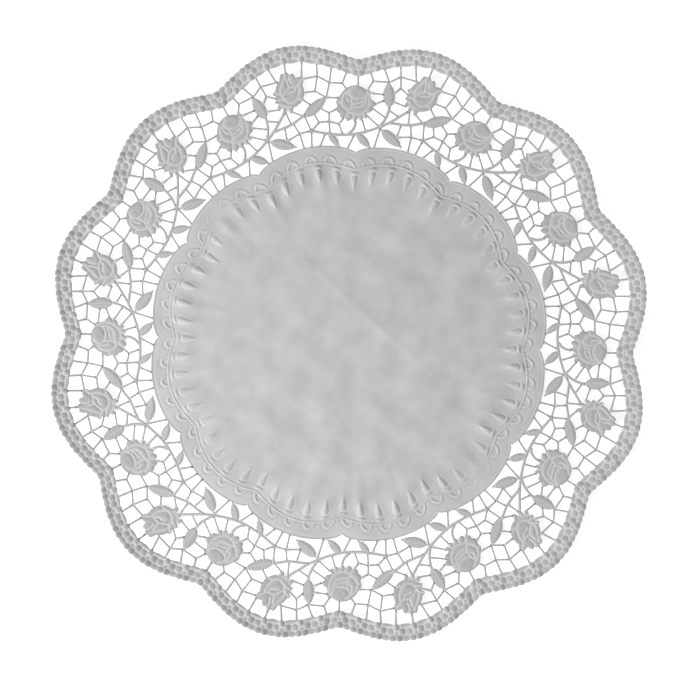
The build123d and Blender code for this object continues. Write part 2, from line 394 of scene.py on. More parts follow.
def panel_relief(bearing, inset):
    """Height and painted shading. A teardrop is a dome over a shape with a half round head and a tapering
    tail.
    Above it a short curved bead and a pressed line follow one arc, and a low ridge runs under all of them.
    The teardrop and its bead are painted darker as shade; the arc, the edge line and a halo beside each
    teardrop are painted lighter as light."""
    beside = np.radians(from_teardrop(bearing)) * (panel_edge(bearing) - inset)
    past = inset - teardrop_middle
    share = limited(np.where(past < 0, -past / head_length, past / tail_length))
    width = teardrop_half_width * np.where(past < 0, np.sqrt(1 - share**2), 1 - share**1.2)
    body = limited(1 - (beside / np.maximum(width, 0.05)) ** 2) ** 0.8 * (share < 1)
    arch = inset - 0.17 * beside**2
    cap = bell(arch - cap_inset, 0.8) * limited((2.3 - np.abs(beside)) / 0.6)
    arc = bell(arch - arc_inset, 0.42) * limited((2.5 - np.abs(beside)) / 0.6)
    under = bell(beside, 1.7) * limited((inset - 0.8) / 2) * limited((15 - inset) / 5)
    flank = bell(np.abs(beside) - width - 0.45, 0.5) * (share < 1)
    line = edge_line(inset)
    height = 0.44 * body + 0.42 * cap - 0.12 * arc + 0.3 * under - 0.14 * flank + line_height * line
    # Painted shading: shade on the teardrops and their beads, light on the arcs, the edge line and beside
    # the teardrops.
    painted_shading = 0.1 * body + 0.2 * cap - 0.7 * arc - 0.65 * flank * (1 - body) - 0.35 * line
    return height * depth_share(bearing), painted_shading * depth_share(bearing)


# %% [markdown]
# Handled paper is never quite flat. Waves, the folds that the teardrops gather and three old creases are
# small heights, so they are added to the relief. Their chances come from one seed, so they stay the same.

# %% Wrinkles of the panel
chance = np.random.default_rng(7)
wave_directions, wave_lengths = chance.uniform(0, pi, 9), chance.uniform(14, 46, 9)
wave_starts = chance.uniform(0, 2 * pi, 9)
pucker_heights = 0.75 * chance.uniform(0, 1, 60) ** 1.5
pucker_lengths = chance.uniform(6, 16, 60)
creases = [((-22, 65), (47, -33), 0.22), ((-2, 62), (30, 40), 0.08), ((20, -30), (52, -8), 0.08)]


def cockle(right, up):
    """Faint wrinkles of handled paper: a few slow waves in fixed directions, added up."""
    waves = [np.sin((right * cos(way) + up * sin(way)) * 2 * pi / length + start)
             for way, length, start in zip(wave_directions, wave_lengths, wave_starts)]
    return 0.8 * sum(waves) / len(waves)


def puckers(bearing, inset):
    """Each teardrop gathers the paper inside it into a soft fold that points to the middle. Across the
    fold the height is a cosine squared; along it the height falls off over the fold's own length."""
    number = np.round((bearing - teardrop_first) / teardrop_step).astype(int) % len(pucker_heights)
    across = np.cos(np.radians(from_teardrop(bearing) * 180 / teardrop_step)) ** 2
    along = limited(inset / 8) * np.exp(-np.clip(inset - 10, 0, None) / pucker_lengths[number])
    return pucker_heights[number] * across * along


def crease_height(right, up):
    """Old folds of a sheet that was packed: a bell curve across each line, which fades at its ends."""
    total = np.zeros_like(right)
    for (x, y), (end_x, end_y), high in creases:
        length = np.hypot(end_x - x, end_y - y)
        way_x, way_y = (end_x - x) / length, (end_y - y) / length
        along = ((right - x) * way_x + (up - y) * way_y) / length
        aside = (right - x) * way_y - (up - y) * way_x
        total += high * bell(aside, 2.0) * limited(4 * along) * limited(4 * (1 - along))
    return total


print("the deepest fold is", round(float(pucker_heights.max()), 2), "mm high")

# %% The panel's surface
bearings = np.arange(0, 360, 0.375)
insets = np.concatenate([np.linspace(0, 5, 15), np.linspace(5.6, 14, 15)])
radius = panel_edge(bearings)[None, :] - insets[:, None]
every_third = bearings[::3]
inwards = np.linspace(1, 0.01, 50)[1:, None]
plain_radius = (panel_edge(every_third) - insets[-1])[None, :] * inwards


def panel_patch(bearing, radius):
    """Right, up, height and tone of a grid of the panel."""
    inset = panel_edge(bearing) - radius
    right, up = at(bearing, radius)
    height, painted_shading = panel_relief(bearing, inset)
    folds = puckers(bearing, inset) + crease_height(right, up) + cockle(right, up)
    return patch(right, up, flat_level + height + folds, painted_shading, closed=True)


edge_part = panel_patch(bearings[None, :], radius)
plain_part = panel_patch(every_third[None, :], plain_radius)
points, quads = gather([edge_part, plain_part])
first = edge_part[0].shape[1] - len(bearings)
outer_ring = first + 3 * np.arange(len(every_third))[:, None] + np.arange(4)
outer_ring[-1, -1] = first
inner_ring = edge_part[0].shape[1] + np.arange(len(every_third))
belt = np.column_stack([outer_ring[:, 0], inner_ring, np.roll(inner_ring, -1), outer_ring[:, :0:-1]])
last_ring = points.shape[1] - len(every_third) + np.arange(len(every_third))
centre_sheet = sheet_piece("centre_sheet", "centre_panel", panel_finish, (points, quads),
                           belt.tolist() + [last_ring[::-1].tolist()])

# %% [markdown]
# ## The hem
#
# The hem joins the plain middle to the lace. Half-round dimples stand on the panel's ridge, each with a
# raised rim. Then comes a plain band, and a raised edge where the lace starts.

# %% Hem
dimple_first, dimple_step = 1.4, 6.0
dimple_half_width, dimple_length = 3.1, 4.1
rim_height, bowl_depth = 0.34, 0.2


def hem_relief(bearing, radius):
    """Height and painted shading. A dimple is a bowl inside a half circle and its rim a ridge along that
    circle;
    the panel's line and the hem's edge are ridges too. The hem's edge is painted darker as shade; the bowls,
    the rims and the panel's line are painted lighter as light."""
    outwards = radius - panel_edge(bearing)
    beside = np.radians(from_nearest(bearing, dimple_first, dimple_step)) * radius
    out = np.hypot(beside / dimple_half_width, (outwards + 0.2) / dimple_length)
    above = limited(outwards / 0.6)
    bowl = limited(1 - (out / 0.85) ** 2) ** 0.7 * above
    rim = ridge((out - 1) * dimple_half_width, 0.5) * above
    line = edge_line(-outwards)
    edge = ridge(hem_outer(bearing) - radius - 0.4, 0.5)
    pressed = depth_share(bearing)
    height = pressed * (rim_height * rim - bowl_depth * bowl + line_height * line) + 0.14 * edge
    # Painted shading: shade on the hem's edge, light on the bowls, rims and the panel's line.
    return height, 0.5 * edge - pressed * (0.1 * bowl + 0.35 * rim + 0.4 * line)


bearings = np.arange(0, 360, 1 / 3)
across = np.linspace(0, 1, 27)
inner, outer = panel_edge(bearings), hem_outer(bearings)
radius = inner + across[:, None] * (outer - inner)
right, up = at(bearings[None, :], radius)
height, painted_shading = hem_relief(bearings[None, :], radius)
height += flat_level + cockle(right, up)
hem_band = sheet_piece("hem_band", "hem_scallops", hem_finish,
                       patch(right, up, height, painted_shading, closed=True))

# %% [markdown]
# ## The beaded border
#
# Each lobe has eight groups of beads, square to the border's curve. Between two groups five beads crowd
# together like a small blossom and are pushed up: two round ones at the cut edge, an oval behind each, and
# one at the lace. In the middle of a group the paper dips, with a long low bead at each edge. Both cut edges
# follow the beads. At a notch one round bead belongs to both lobes.

# %% Beads of one lobe
# The last number of each kind is its painted shade: how much darker the bead is painted.
bead_kinds = {  # half length, half width, height, tone
    "round": (2.0, 1.85, 1.0, 0.8), "long": (2.2, 1.6, 0.75, 0.4), "notch": (2.3, 2.0, 1.0, 0.75),
    "oval": (2.05, 2.0, 1.0, 0.55), "dot": (0.9, 0.8, 0.5, 0.5), "lace": (1.65, 1.95, 1.0, 0.6),
    "lace_long": (3.8, 1.15, 0.6, 0.35), "lace_notch": (1.9, 1.9, 1.0, 0.6),
    "lace_short": (2.8, 1.15, 0.6, 0.35),
}
half_lobe_beads = [  # the kind, its place in groups from the notch, and its inset from the cut edge
    ("notch", 0.0, 2.0), ("long", 0.4, 1.8), ("round", 0.8, 1.75), ("oval", 0.31, 5.1), ("oval", 0.7, 5.3),
    ("dot", 0.0, 5.2), ("lace_notch", 0.165, 8.4), ("lace_short", 0.6, 8.95), ("dot", 4.0, 4.3),
    ("lace", 4.0, 8.0),
]
for group in (1, 2, 3):
    half_lobe_beads += [
        ("dot", group, 4.3), ("lace", group, 8.0), ("round", group + 0.16, 1.75),
        ("oval", group + 0.325, 5.45),
        ("long", group + 0.5, 1.8), ("lace_long", group + 0.5, 8.95), ("oval", group + 0.675, 5.45),
        ("round", group + 0.84, 1.75),
    ]
beads = half_lobe_beads + [(kind, units_per_lobe - middle, inset)
                           for kind, middle, inset in half_lobe_beads]
print(len(beads), "beads in one lobe")

# %% Border
columns_per_unit = 20
outer_lean, inner_lean = 0.4, -0.5     # degrees, so that the groups stand square to the curve
middle_units = range(1, units_per_lobe - 1)
blossom_height, dome_rise = 0.3, 0.62
outer_ends = [-0.2, 0.2, 0.6, 1.0]     # where the beads of a cut edge meet, in groups from the notch
outer_ends += [unit + share for unit in middle_units for share in (0.32, 0.68, 1.0)] + [7.4, 7.8, 8.2]
inner_ends = [0.0, 0.33, 0.87]
inner_ends += [unit + share for unit in middle_units for share in (0.13, 0.87)] + [7.13, 7.67, 8.0]


def lean(bearing, most):
    """A bearing moved away from the lobe's middle by a sine, the most halfway to the notch."""
    return bearing + most * np.sin(np.radians(bearing * 180 / half_lobe))


def from_middle(place, ends):
    """Where a place lies on its bead: 0 at the bead's middle and 1 or -1 at its ends."""
    ends = np.array(ends)
    number = np.clip(np.searchsorted(ends, place, side="right") - 1, 0, len(ends) - 2)
    return (2 * place - ends[number] - ends[number + 1]) / (ends[number + 1] - ends[number])


def valley(place, ends):
    """How far a beaded edge draws back at a place: the bead's height times the square of from_middle."""
    return bead_height * from_middle(place, ends) ** 2


def border_relief(place, inset, unit_length):
    """Height and painted shading. A bead is a dome; the highest one counts, and it is painted darker as
    shade by its kind's share. Under them a cosine wave lifts the blossoms and lowers the middles of the
    groups. The lines that are left between beads are pressed, and painted lighter as light."""
    domes, painted_shading = np.zeros_like(inset), np.zeros_like(inset)
    for kind, middle, bead_inset in beads:
        half_length, half_width, high, bead_shading = bead_kinds[kind]
        dome = bead((place - middle) * unit_length, inset - bead_inset, half_length, half_width)
        domes, painted_shading = np.maximum(domes, high * dome), np.maximum(painted_shading, bead_shading * dome)
    filled = limited(2.2 * domes)
    # Painted shading: shade on the beads, light on the pressed lines between them.
    return blossom_height * np.cos(2 * pi * place) + dome_rise * domes, painted_shading - 0.45 * (1 - filled)


place_in_lobe = np.arange(0, units_per_lobe, 1 / columns_per_unit)
bearings = place_in_lobe * lobe_angle / units_per_lobe - half_lobe
outer_bearings, inner_bearings = lean(bearings, outer_lean), lean(bearings, inner_lean)
outer = at(outer_bearings, border_outer(outer_bearings) - valley(place_in_lobe, outer_ends))
inner = at(inner_bearings, border_inner(inner_bearings) + valley(place_in_lobe, inner_ends))
across = np.linspace(0, 1, 23)[:, None]
right, up = [start + across * (end - start) for start, end in zip(outer, inner)]
bare_edge = np.array(at(outer_bearings, border_outer(outer_bearings)))
inset = np.hypot(right - bare_edge[0], up - bare_edge[1])
unit_length = 1.04 * np.radians(lobe_angle / units_per_lobe) * np.hypot(right, up)
height, painted_shading = border_relief(place_in_lobe, inset, unit_length)
turns = np.radians(np.repeat(np.arange(lobe_count) * lobe_angle, len(bearings)))
right, up, height, painted_shading = [np.tile(part, (1, lobe_count)) for part in (right, up, height, painted_shading)]
right, up = turned(right, up, turns)
border_band = sheet_piece("border_band", "border_lobes", border_finish,
                          patch(right, up, flat_level + 0.1 + height, painted_shading, closed=True))

# %% [markdown]
# ## Curves through points
#
# Vines and the lines between petals are drawn as a designer draws them: a few points, and a smooth curve
# through them.

# %% Smooth curves
def smooth_through(points, step):
    """A natural cubic spline through the points over their chord lengths, sampled at about one step. The
    bends at the points come from one set of linear equations."""
    points = np.array(points, float)
    knots = np.concatenate([[0], np.cumsum(np.hypot(*np.diff(points, axis=0).T))])
    gaps = np.diff(knots)
    slopes = np.diff(points, axis=0) / gaps[:, None]
    system = np.eye(len(points))
    inner = np.arange(1, len(points) - 1)
    system[inner, inner - 1] = gaps[:-1]
    system[inner, inner] = 2 * (gaps[:-1] + gaps[1:])
    system[inner, inner + 1] = gaps[1:]
    changes = np.zeros_like(points)
    changes[1:-1] = 6 * np.diff(slopes, axis=0)
    bends = np.linalg.solve(system, changes)
    along = np.linspace(0, knots[-1], max(int(knots[-1] / step), 1) + 1)
    span = np.clip(np.searchsorted(knots, along, side="right") - 1, 0, len(gaps) - 1)
    past, gap = (along - knots[span])[:, None], gaps[span][:, None]
    start, end = bends[span], bends[span + 1]
    straight = points[span] + past * (slopes[span] - gap * (2 * start + end) / 6)
    return straight + past**2 * start / 2 + past**3 * (end - start) / (6 * gap)


def distance_to(samples, right, up):
    """Distance from each point to the nearest sample of a curve."""
    away = np.hypot(right[..., None] - samples[:, 0], up[..., None] - samples[:, 1])
    return away.min(axis=-1)


# %% [markdown]
# ## Flowers
#
# A rose or a rosebud is a round head with petal points and sepals. Its outline is a radius for each
# direction: the head's oval, or the petal that reaches further. The grid runs from the middle to it. Petals
# are puffed up between pressed lines, so height and painted shading come from the distance to the nearest
# line:
# the petals are painted darker as shade, the lines lighter as light.

# %% Flower shapes
petal_line_half_width, petal_height, rim_width = 0.5, 0.62, 1.1


def leaf_shape(t, half_width):
    """A leaf's share of its length and its half width, for t from 0 at its base to 1 at its tip. The
    share follows a cubic that crowds towards the base, and the width a parabola."""
    return 0.3 * (1 - t) ** 2 * t + 2.25 * (1 - t) * t**2 + t**3, 4 * half_width * t * (1 - t)


def petal_radius(angle, reach_right, reach_up, half_width):
    """How far one petal point reaches in each direction: its edge is a leaf's, read from the tip back to
    the widest direction."""
    reach, axis = np.hypot(reach_right, reach_up), np.arctan2(reach_up, reach_right)
    share, beside = leaf_shape(np.linspace(1, 0, 60), half_width)
    along = reach * (0.35 + 0.65 * share)
    aside, out = np.arctan2(beside, along), np.hypot(along, beside)
    widest = np.argmax(aside) + 1
    off_axis = np.abs((angle - axis + pi) % (2 * pi) - pi)
    return np.interp(off_axis, aside[:widest], out[:widest], right=0)


def flower_radius(angle, half_width, half_height, petals):
    """The flower's outline: the oval head's radius or the longest petal's, whichever is more."""
    oval = half_width * half_height / np.hypot(half_height * np.cos(angle), half_width * np.sin(angle))
    return np.max([oval] + [petal_radius(angle, *petal) for petal in petals], axis=0)


def flower_patch(middle, half_width, half_height, petals, lines, dimples, turn=0.0):
    """One flower: its middle, its head's half width and half height, and its petals. Lines are drawn on
    the flower's own axes, which are turned clockwise by some degrees."""
    tips = [np.arctan2(petal[1], petal[0]) % (2 * pi) for petal in petals]
    angle = np.unique(np.concatenate([np.linspace(0, 2 * pi, 170, endpoint=False), tips]))
    edge = flower_radius(angle, half_width, half_height, petals)
    shares = np.concatenate([[0.02], np.linspace(0.08, 1, 18)])
    radius = shares[:, None] * edge
    x, y = radius * np.cos(angle), radius * np.sin(angle)
    own_x, own_y = turned(x, y, -radians(turn))
    samples = np.concatenate([smooth_through(line, 0.25) for line in lines])
    away = distance_to(samples, own_x, own_y)
    pressed = bell(away, petal_line_half_width)
    puffed = 1 - np.exp(-away / 0.9)
    rim = bell(edge - radius, rim_width)
    hollow = np.sum([bell(np.hypot((own_x - a) / 1.3, own_y - b), 0.75) for a, b in dimples], axis=0)
    height = 0.12 + petal_height * puffed - 0.3 * rim * puffed - 0.12 * hollow
    # Painted shading: shade on the petals, more along the rim and in the dimples, and light on the pressed
    # lines.
    painted_shading = 0.42 - 1.05 * pressed + 0.28 * rim * (1 - pressed) + 0.3 * hollow
    return patch(middle[0] + x, middle[1] + y, height, painted_shading, closed=True)


# %% [markdown]
# The full rose has a top petal seen from above, folded petals round it and a spiky calyx below.

# %% Roses
rose_petals = [
    (-11.2, 2.4, 4.4), (-11.9, -3.0, 4.0), (-10.6, -7.0, 3.0), (-7.2, -10.2, 2.4), (-2.9, -11.6, 1.9),
    (1.5, -12.0, 1.8), (4.6, -11.2, 1.9), (8.8, -7.6, 2.6), (12.0, -4.2, 2.6), (10.4, 4.4, 3.0),
]
rose_lines = [
    # round the whole head
    [(-6.0, 4.7), (-7.8, 2.6), (-8.2, -0.3), (-7.6, -3.4), (-6.1, -5.0), (-3.8, -6.0), (-1.9, -6.9),
     (0.2, -7.3), (2.6, -7.1), (4.8, -6.1), (6.6, -4.4), (7.8, -1.8), (8.1, 1.2), (7.5, 4.2), (6.2, 7.2)],
    # round the top petal
    [(-3.6, 7.5), (-4.9, 6.1), (-5.2, 4.2), (-4.3, 2.6), (-2.4, 1.6), (0.5, 1.6), (3.0, 2.6), (4.7, 4.4),
     (5.4, 6.4), (5.0, 8.4)],
    # folded petals
    [(-6.4, 4.0), (-5.8, 1.7), (-4.9, -0.5), (-3.8, -1.2)],
    [(-3.5, 1.8), (-2.5, 0.2), (-1.8, -1.8), (-1.7, -4.0)],
    [(-3.0, -5.8), (-1.0, -4.5), (1.0, -3.3), (3.5, -2.2), (5.2, -0.5), (5.8, 1.7), (5.6, 4.2)],
    [(-0.7, -2.0), (1.5, -0.6), (3.5, 0.6), (4.8, 2.0)],
    # between the sepals
    [(1.2, -7.5), (1.6, -9.8), (1.7, -11.5)], [(5.0, -7.0), (4.9, -9.8)], [(-2.0, -7.3), (-2.9, -10.2)],
    [(6.7, -6.2), (8.2, -7.5)], [(-7.8, -3.4), (-9.7, -3.4)],
]
rose_dimples = [(-0.3, 4.9), (2.9, 2.6), (2.6, -0.9), (-4.6, 2.0)]
rose = (place(14.5, 0.66), 9.7, 9.7, rose_petals)
rose_patch = flower_patch(*rose, rose_lines, rose_dimples, turn=30.0)
rose_heads = sheet_piece("rose_heads", "rose_blooms", motif_finish, around(rose_patch))

# %% [markdown]
# The rosebud is still half closed: one petal wraps across it, and its sepals stand at the lower left.

# %% Rosebuds
bud_petals = [
    (-2.6, 11.6, 2.6), (0.2, 12.2, 2.4), (4.0, 10.4, 2.6), (9.6, 7.0, 2.8),
    (-10.3, 0.9, 2.0), (-10.0, -4.6, 2.0), (-9.2, -8.8, 1.8), (-6.2, -11.6, 1.7), (-2.0, -12.6, 1.7),
]
bud_lines = [
    # the wrapped petal's edge, from the top down the left, round and up to the right tip
    [(-1.2, 9.9), (-3.0, 6.9), (-4.8, 4.1), (-5.9, 1.8), (-5.7, -0.4), (-5.0, -2.2), (-4.3, -4.2),
     (-2.5, -5.9), (0.0, -6.5), (2.1, -5.7), (3.8, -3.7), (5.1, -1.2), (5.6, 1.3), (5.7, 3.0), (7.1, 4.6),
     (9.0, 6.0)],
    # folds across the middle
    [(-4.6, -0.9), (-2.7, 0.6), (-0.7, 2.1), (1.5, 2.6), (3.5, 2.3), (5.5, 2.8)],
    [(-1.6, -1.0), (0.0, -0.4), (2.0, 0.0), (3.2, 0.9), (3.5, 2.2)],
    [(-0.9, 7.8), (-0.5, 5.3), (-0.3, 2.6)],
    [(1.6, 9.4), (1.1, 7.1), (1.7, 5.0)],
    # sepals
    [(-8.8, 1.0), (-6.5, -0.4), (-5.2, -2.2)], [(-8.1, -3.5), (-6.0, -3.4), (-4.5, -4.2)],
    [(-7.8, -5.9), (-6.0, -7.4), (-4.0, -8.3), (-1.8, -8.7)], [(-4.0, -8.5), (-4.1, -11.3)],
    [(3.6, -5.4), (5.5, -5.9)],
]
bud_dimples = [(1.5, 3.7), (-0.9, 0.8), (1.5, 1.1), (-2.8, -1.7), (-1.5, -4.9), (-5.0, -0.5)]
bud = (place(-0.2, 0.68), 8.6, 9.2, bud_petals)
bud_patch = flower_patch(*bud, bud_lines, bud_dimples)
bud_heads = sheet_piece("bud_heads", "rose_buds", motif_finish, around(bud_patch))

# %% [markdown]
# ## How near is a motif
#
# Leaves go under the flowers and the hem, and threads end where a motif starts. So each point's distance
# outside a flower, a leaf or a vine is needed, negative inside. A neighbour lobe's motifs count too, so the
# point is also turned back by one lobe each way.

# %% Distances to the motifs
vine_routes = [
    # the main vine, from its knob under one lobe to the next lobe's rosebud
    [(3.1, 0.19), (7.6, 0.15), (11.8, 0.17), (16.2, 0.23), (20.2, 0.25), (22.5, 0.29), (25.6, 0.39),
     (27.9, 0.49)],
    # a branch from the rosebud's stem to the slanting leaf
    [(-6.6, 0.31), (-3.6, 0.3), (-1.4, 0.31), (0.6, 0.35), (2.5, 0.4)],
    # the upright leaf's stem
    [(-8.9, 0.27), (-7.5, 0.4), (-7.2, 0.52)],
    # the rose's stem
    [(14.5, 0.5), (14.7, 0.37), (14.1, 0.28), (12.6, 0.19)],
]
leaf_places = [
    ((-7.2, 0.51), (-8.3, 0.83), 3.45),      # upright, left of the rosebud
    ((2.1, 0.37), (7.7, 0.61), 3.2),         # slanting, right of the rosebud
    ((-8.1, 0.22), (-2.2, 0.04), 3.1),       # along the hem
    ((7.6, 0.15), (10.2, 0.01), 2.0),        # small, between the vine and the hem
    ((15.3, 0.24), (19.1, 0.01), 2.4),       # below the rose
]
leaves = [(place(*base), place(*tip), half_width) for base, tip, half_width in leaf_places]
vine_curves = [smooth_through([place(*point) for point in route], 0.5) for route in vine_routes]


def beyond_flowers(x, y):
    """Distance outside the nearer flower, along the direction from its middle."""
    found = []
    for middle, *outline in (rose, bud):
        dx, dy = x - middle[0], y - middle[1]
        found.append(np.hypot(dx, dy) - flower_radius(np.arctan2(dy, dx), *outline))
    return np.min(found, axis=0)


def beyond_leaf(x, y, base, tip, half_width):
    """Distance outside one leaf: past its edge sideways, or past its ends lengthways."""
    axis = tip - base
    length = np.hypot(*axis)
    ahead = ((x - base[0]) * axis[0] + (y - base[1]) * axis[1]) / length**2
    aside = np.abs((x - base[0]) * axis[1] - (y - base[1]) * axis[0]) / length
    width = np.interp(ahead, *leaf_shape(np.linspace(0, 1, 50), half_width))
    past = (np.clip(-ahead, 0, None) + np.clip(ahead - 1, 0, None)) * length
    return np.where(past > 0, np.hypot(aside, past), aside - width)


def beyond_vines(x, y):
    stems = [distance_to(curve, x, y) - vine_width / 2 for curve in vine_curves]
    knob = np.hypot(x - vine_curves[0][0, 0], y - vine_curves[0][0, 1]) - knob_radius
    return np.min([*stems, knob], axis=0)


def beyond_leaves(x, y):
    return np.min([beyond_leaf(x, y, *leaf) for leaf in leaves], axis=0)


def nearest_of(measures, x, y):
    """The smallest of several distances, to the motifs of this lobe and of both its neighbours."""
    found = []
    for lobe in (-1, 0, 1):
        back_x, back_y = turned(x, y, radians(-lobe * lobe_angle))
        found += [measure(back_x, back_y) for measure in measures]
    return np.min(found, axis=0)


print("the lace band's middle is", round(float(nearest_of([beyond_flowers], *place(7.0, 0.5))), 1),
      "mm from a flower at a bearing of 7 degrees")

# %% [markdown]
# ## Leaves
#
# A leaf is one grid: along its axis and across it. It is domed, with a pressed midrib and slanting veins,
# toothed edges and a short stalk at each end. Where a flower or the hem lies over it, it is pressed flat.

# %% Leaves
vein_spacing, tooth_spacing, tooth_depth = 2.2, 1.9, 0.3
stalk_length, stalk_half_width = 1.3, 0.5


def leaf_patch(base, tip, half_width):
    """One leaf: a dome across its width, less a narrow valley along the middle and slanting ones. The
    width grows along each tooth and drops back at its end, as a saw's edge does."""
    t, side = np.linspace(0.012, 0.988, 46)[:, None], np.linspace(-1, 1, 13)[None, :]
    along, width = leaf_shape(t, half_width)
    axis = tip - base
    length = np.hypot(*axis)
    normal = np.array([axis[1], -axis[0]]) / length
    width = width + tooth_depth * (along * length / tooth_spacing % 1 - 0.4) * limited(width)
    stalk = limited(1 - t / 0.1) - limited(1 - (1 - t) / 0.1)
    along, width = along - stalk * stalk_length / length, np.maximum(width, stalk_half_width)
    beside = width * side
    x = base[0] + axis[0] * along + normal[0] * beside
    y = base[1] + axis[1] * along + normal[1] * beside
    rib = bell(beside, 0.35) * limited(4 * (1 - along))
    wave = 0.5 + 0.5 * np.cos(2 * pi * (along * length - 0.75 * np.abs(beside)) / vein_spacing)
    veins = wave**4 * limited(2.2 * (1 - np.abs(side)))
    height = 0.2 + 0.42 * (1 - side**2) * limited(width / 1.5) - 0.14 * rib - 0.1 * veins
    # Painted shading: the leaf is painted darker as shade, most at its edges, and lighter on the midrib and
    # veins.
    painted_shading = 0.42 + 0.22 * np.abs(side) ** 3 - 0.42 * rib - 0.3 * veins
    beyond_hem = np.hypot(x, y) - hem_outer(np.degrees(np.arctan2(x, y)))
    under = np.minimum(nearest_of([beyond_flowers], x, y), beyond_hem)
    return patch(x, y, height * limited(0.5 + under / 0.8), painted_shading)


one_lobe_leaves = gather([leaf_patch(*leaf) for leaf in leaves])
leaf_domes = sheet_piece("leaf_domes", "leaves", motif_finish, around(one_lobe_leaves))

# %% [markdown]
# ## Vines and threads
#
# Both are strips of paper pressed into a rounded ridge. A strip is a profile carried along a path: across
# it the height follows a parabola, and it widens a little at its ends, where paper fills the corners
# between threads. A strip that runs into a flower, a leaf or a rim is cut there with a small overlap.

# %% Strips
def strip(path, half_width, crest, flare=0.3, depth=1.0):
    """A ridge along a path: each row of points crosses it at a right angle and falls from the crest with
    the square of the distance. The ends are wider by the flare. Depth is how much painted shade darkens the
    crest;
    the sides and the ends are painted lighter."""
    direction = np.gradient(path, axis=0)
    direction /= np.hypot(*direction.T)[:, None]
    along = np.concatenate([[0], np.cumsum(np.hypot(*np.diff(path, axis=0).T))])
    to_end = np.minimum(along, along[-1] - along)
    width = half_width * (1 + flare * np.exp(-to_end / 0.7))
    side = np.array([-1, -0.8, -0.45, 0, 0.45, 0.8, 1])
    x = path[:, :1] + direction[:, 1:] * width[:, None] * side
    y = path[:, 1:] - direction[:, :1] * width[:, None] * side
    level = 0.22 + crest * (1 - side**2) * np.ones_like(x)
    # Painted shading: darkest on the crest as shade, lighter towards the sides and the ends.
    painted_shading = depth * (0.45 + 0.55 * (1 - side**2)) * np.clip(to_end / 1.2, 0.35, 1)[:, None]
    return patch(x, y, level, painted_shading)


def kept_part(start, end, clear):
    """The part of a straight thread that lies outside the motifs, as two points with a small overlap."""
    shares = np.linspace(0, 1, 60)
    x, y = (start + (end - start) * shares[:, None]).T
    outside = np.flatnonzero(clear(x, y) > -0.35)
    if len(outside) < 3:
        return None
    return start + (end - start) * shares[outside[0]], start + (end - start) * shares[outside[-1]]


# %% Vines
def dome_patch(middle, radius, crest):
    """A round knob: a parabola over a disc, painted darker towards its top as shade."""
    angle = np.linspace(0, 2 * pi, 20, endpoint=False)
    share = np.linspace(0.05, 1, 7)[:, None]
    x, y = middle[0] + radius * share * np.cos(angle), middle[1] + radius * share * np.sin(angle)
    fall = (1 - share**2) * np.ones_like(x)
    return patch(x, y, 0.25 + crest * fall, 0.5 + 0.5 * fall, closed=True)


vine_strips = []
for curve in vine_curves:
    free = np.flatnonzero(nearest_of([beyond_flowers], *curve.T) > -0.5)
    kept_curve = curve[free[0]:free[-1] + 1][::2]
    vine_strips.append(strip(kept_curve, vine_width / 2 + 0.08, 0.42, flare=0.15, depth=0.4))
vine_strips.append(dome_patch(vine_curves[0][0], knob_radius, 0.6))
vine_ridges = sheet_piece("vine_ridges", "vine_stems", net_finish, around(gather(vine_strips)))

# %% [markdown]
# The net's threads are straight between the knots where they meet, on the same routes as the solids.

# %% Net
upper_left = (-11.6, 0.89)
leaf_top = (-8.1, 0.83)
left_high = (-5.9, 0.88)
left_mid = (-5.4, 0.74)
right_high = (6.3, 0.86)
right_far = (8.8, 0.81)
right_low = (5.4, 0.67)
rose_side = (11.6, 0.85)
crossing = (-0.1, 0.18)
knob = vine_routes[0][0]
mid_right = (5.4, 0.29)
low_right = (8.0, 0.31)
high_right = (8.2, 0.42)
near_rose = (10.5, 0.3)
slanting_tip = (7.8, 0.61)

thread_routes = [
    # upper net, from left to right under the border
    [(-12.4, 1.0), upper_left, leaf_top, left_high, (-2.1, 0.83)],
    [upper_left, (-13.6, 0.72)],
    [(-9.7, 1.0), leaf_top],
    [(-6.4, 1.0), left_high, left_mid, (-3.2, 0.65)],
    [left_mid, (-6.8, 0.67)],
    [(-3.5, 1.0), (-2.4, 0.82)],
    [(0.1, 1.0), (-0.2, 0.88)],
    [(3.6, 1.0), (2.9, 0.81), right_high, right_far, rose_side, (12.7, 1.0)],
    [(6.5, 1.0), right_high, right_low, (2.5, 0.65)],
    [(9.5, 1.0), right_far, slanting_tip, (11.0, 0.65)],
    [right_low, slanting_tip],
    [rose_side, (13.3, 0.75)],
    [(15.1, 1.0), (15.1, 0.8)],
    # beside the rose, the upright leaf and the rosebud
    [(-13.7, 0.78), (-8.2, 0.67)],
    [(-11.9, 0.56), (-8.1, 0.61)],
    [(-11.9, 0.56), (-7.7, 0.38)],
    [(-13.0, 0.48), (-8.7, 0.26)],
    [(-13.6, 0.42), (-12.4, 0.23)],
    [(-7.1, 0.47), (-4.5, 0.39)],
    [(-7.1, 0.59), (-3.2, 0.52)],
    [(-2.3, 0.49), (-1.7, 0.31)],
    [(-1.0, 0.46), (2.0, 0.37)],
    [(1.7, 0.6), (4.0, 0.5)],
    # lower net
    [(-3.5, 0.29), (-3.9, 0.13)],
    [(-4.1, 0.14), crossing, knob],
    [(-1.1, 0.31), crossing, (0.2, 0.0)],
    [(2.0, 0.38), knob, (2.3, 0.0)],
    [knob, mid_right, (4.2, 0.42)],
    [mid_right, low_right, near_rose, (12.3, 0.45)],
    [(7.9, 0.15), low_right, high_right, (6.0, 0.47)],
    [high_right, (11.4, 0.55)],
    [near_rose, (11.4, 0.17)],
    # down to the hem
    [(6.6, 0.15), (4.5, 0.0)],
    [(14.6, 0.23), (12.4, 0.0)],
    [(-8.6, 0.27), (-9.7, 0.0)],
]


